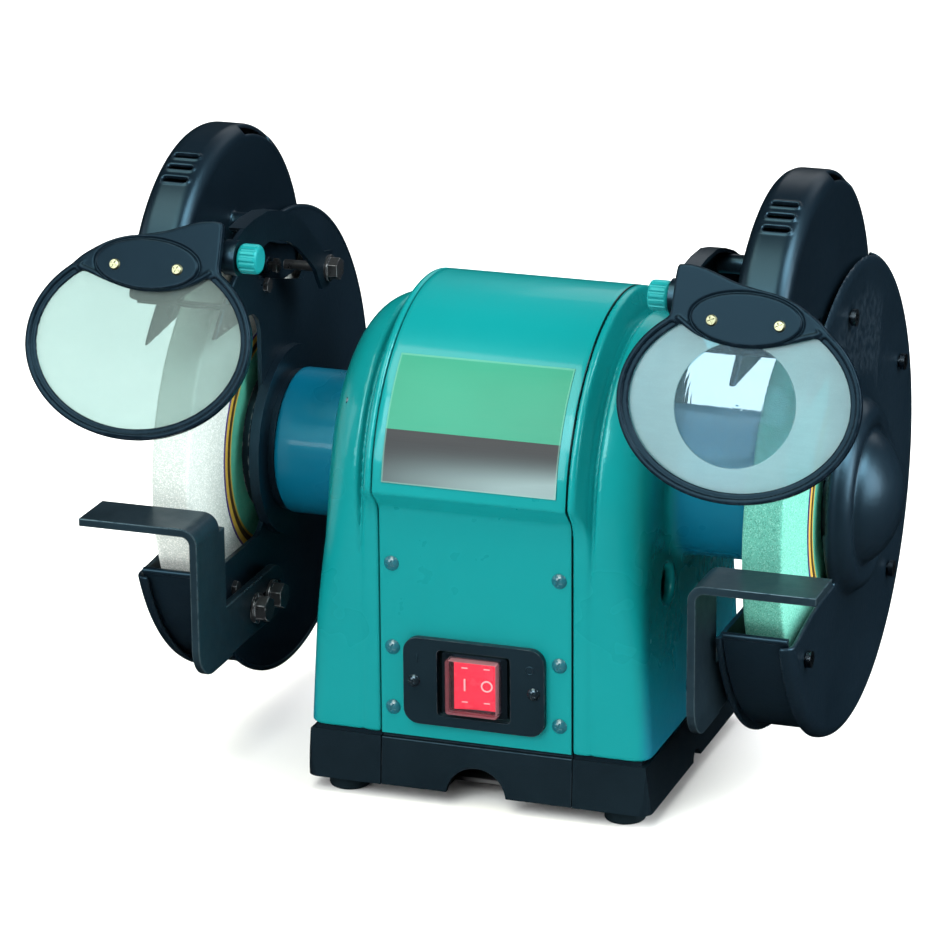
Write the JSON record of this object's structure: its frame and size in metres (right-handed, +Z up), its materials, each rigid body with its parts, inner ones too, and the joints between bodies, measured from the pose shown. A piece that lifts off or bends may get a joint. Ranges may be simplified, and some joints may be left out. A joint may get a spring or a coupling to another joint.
{
  "type": "bench grinder",
  "caption": "Bench grinder with a drum-shaped motor body, an abrasive wheel in a guard at each end, sliding tool rests, tilting eye shields and a rocker switch.",
  "frame": {"origin": "on the bench surface, under the middle of the shaft", "axes": "+Z up, +X along the shaft towards the right-hand wheel, -Y towards the user"},
  "size_m": [0.3988, 0.2743, 0.3155],
  "materials": {
    "teal_paint": "gloss",
    "teal_casting": "gloss",
    "base_black": "satin",
    "zinc_sheet": "satin",
    "foot_rubber": "matte",
    "lamination_steel": "satin",
    "copper_winding": "satin",
    "capacitor_case": "satin",
    "terminal_plastic": "matte",
    "gland_plastic": "matte",
    "label_print": "gloss",
    "painted_screw": "gloss",
    "bezel_plastic": "satin",
    "black_screw": "gloss",
    "switch_plastic": "gloss",
    "clear_cover": "gloss",
    "red_rocker": "gloss",
    "zinc_steel": "satin",
    "bearing_steel": "polished",
    "ground_steel": "polished",
    "white_grit": "matte",
    "green_grit": "matte",
    "blotter_paper": "matte",
    "black_flange": "satin",
    "guard_black": "satin",
    "hood_black": "satin",
    "dark_sheet": "satin",
    "rest_steel": "satin",
    "bracket_black": "satin",
    "frame_black": "satin",
    "left_window": "gloss",
    "right_window": "frosted",
    "brass_screw": "polished",
    "knob_turquoise": "satin",
    "clear_lens": "gloss",
    "black_bolt": "satin"
  },
  "bodies": {
    "frame": {"drum_cover": "teal_paint", "left_end_housing": "teal_casting", "right_end_housing": "teal_casting", "base_left": "base_black", "base_centre": "base_black", "base_right": "base_black", "bottom_plate": "zinc_sheet", "rubber_feet": "foot_rubber", "stator_core": "lamination_steel", "stator_windings": "copper_winding", "capacitor": "capacitor_case", "terminal_block": "terminal_plastic", "cable_gland": "gland_plastic", "front_label": "label_print", "panel_screws": "painted_screw", "switch_bezel": "bezel_plastic", "bezel_screws": "black_screw", "switch_body": "switch_plastic", "switch_cover": "clear_cover", "tie_bolts": "zinc_steel", "shaft_bearings": "bearing_steel", "base_screws": "zinc_steel", "deflector_screws": "zinc_steel", "left_guard_back": "guard_black", "left_guard_band": "guard_black", "left_guard_cover": "guard_black", "left_spark_hood": "hood_black", "left_shield_bracket": "bracket_black", "right_guard_back": "guard_black", "right_guard_band": "guard_black", "right_guard_cover": "guard_black", "right_spark_hood": "hood_black", "right_shield_bracket": "bracket_black", "guard_cover_screws": "zinc_steel", "guard_mount_screws": "zinc_steel", "rest_bolts": "black_bolt", "bracket_bolts": "black_bolt"},
    "rotor": {"shaft": "ground_steel", "rotor_core": "lamination_steel", "left_wheel": "white_grit", "right_wheel": "green_grit", "wheel_blotters": "blotter_paper", "inner_flanges": "black_flange", "outer_flanges": "zinc_steel", "left_spindle_nut": "zinc_steel", "right_spindle_nut": "zinc_steel"},
    "left_shield": {"left_shield_frame": "frame_black", "left_shield_window": "left_window", "left_shield_screws": "brass_screw"},
    "right_shield": {"right_shield_frame": "frame_black", "right_shield_window": "right_window", "right_shield_screws": "brass_screw", "magnifier_lens": "clear_lens"},
    "left_clamp_knob": {"left_knob": "knob_turquoise"},
    "left_rest": {"left_tool_rest": "rest_steel"},
    "left_spark_deflector": {"left_deflector": "dark_sheet"},
    "right_clamp_knob": {"right_knob": "knob_turquoise"},
    "right_rest": {"right_tool_rest": "rest_steel"},
    "right_spark_deflector": {"right_deflector": "dark_sheet"},
    "rocker": {"switch_rocker": "red_rocker"}
  },
  "joints": [
    {"name": "rotor_spin", "type": "hinge", "parent": "frame", "child": "rotor", "pos_m": [0, 0, 0.1505], "axis": [1, 0, 0], "continuous": true},
    {"name": "left_shield_tilt", "type": "hinge", "parent": "frame", "child": "left_shield", "pos_m": [-0.1124, -0.108, 0.2728], "axis": [-1, 0, 0], "range_deg": [-8, 32]},
    {"name": "left_knob_turn", "type": "hinge", "parent": "frame", "child": "left_clamp_knob", "pos_m": [-0.099, -0.108, 0.2728], "axis": [1, 0, 0], "range_deg": [-180, 180]},
    {"name": "left_rest_slide", "type": "slide", "parent": "frame", "child": "left_rest", "axis": [0, -1, 0], "range_m": [-0.0012, 0.008]},
    {"name": "left_deflector_slide", "type": "slide", "parent": "frame", "child": "left_spark_deflector", "axis": [0, 0, 1], "range_m": [-0.003, 0.0022]},
    {"name": "right_shield_tilt", "type": "hinge", "parent": "frame", "child": "right_shield", "pos_m": [0.1124, -0.108, 0.2728], "axis": [-1, 0, 0], "range_deg": [-8, 32]},
    {"name": "right_knob_turn", "type": "hinge", "parent": "frame", "child": "right_clamp_knob", "pos_m": [0.099, -0.108, 0.2728], "axis": [1, 0, 0], "range_deg": [-180, 180]},
    {"name": "right_rest_slide", "type": "slide", "parent": "frame", "child": "right_rest", "axis": [0, -1, 0], "range_m": [-0.0012, 0.008]},
    {"name": "right_deflector_slide", "type": "slide", "parent": "frame", "child": "right_spark_deflector", "axis": [0, 0, 1], "range_m": [-0.003, 0.0022]},
    {"name": "rocker_tilt", "type": "hinge", "parent": "frame", "child": "rocker", "pos_m": [0, -0.0765, 0.0645], "axis": [0, 0, 1], "range_deg": [-10, 0]}
  ]
}
